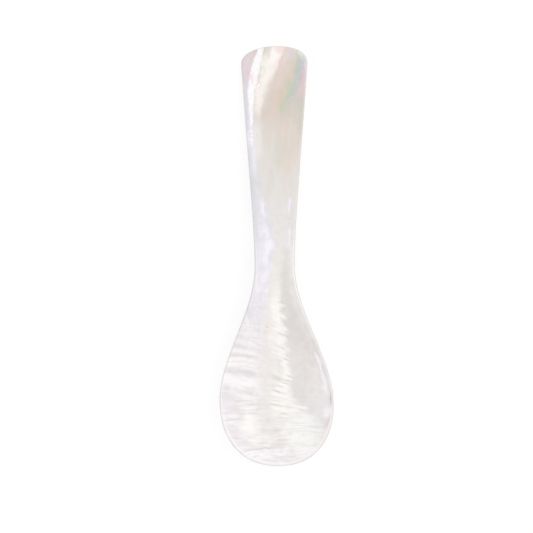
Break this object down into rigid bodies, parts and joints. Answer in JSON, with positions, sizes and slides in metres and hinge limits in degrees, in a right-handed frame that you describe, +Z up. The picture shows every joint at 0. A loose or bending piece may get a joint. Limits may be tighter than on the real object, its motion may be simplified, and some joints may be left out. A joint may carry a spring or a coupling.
{
  "type": "caviar spoon",
  "caption": "Small one-piece serving spoon carved from pearl shell: an egg-shaped bowl with a thin rounded lip, a slim neck and a handle that flares to a rounded end.",
  "frame": {"origin": "on the table under the middle of the spoon's bounding box, with the spoon lying as it rests, hollow up", "axes": "+Y along the spoon towards the end of the handle (the bowl's tip is at -Y), +X to the right seen from above with the bowl nearest the eye, +Z up out of the hollow"},
  "size_m": [0.0312, 0.115, 0.0075],
  "materials": {
    "pearl_shell": "polished"
  },
  "bodies": {
    "root": {"spoon": "pearl_shell"}
  },
  "joints": []
}
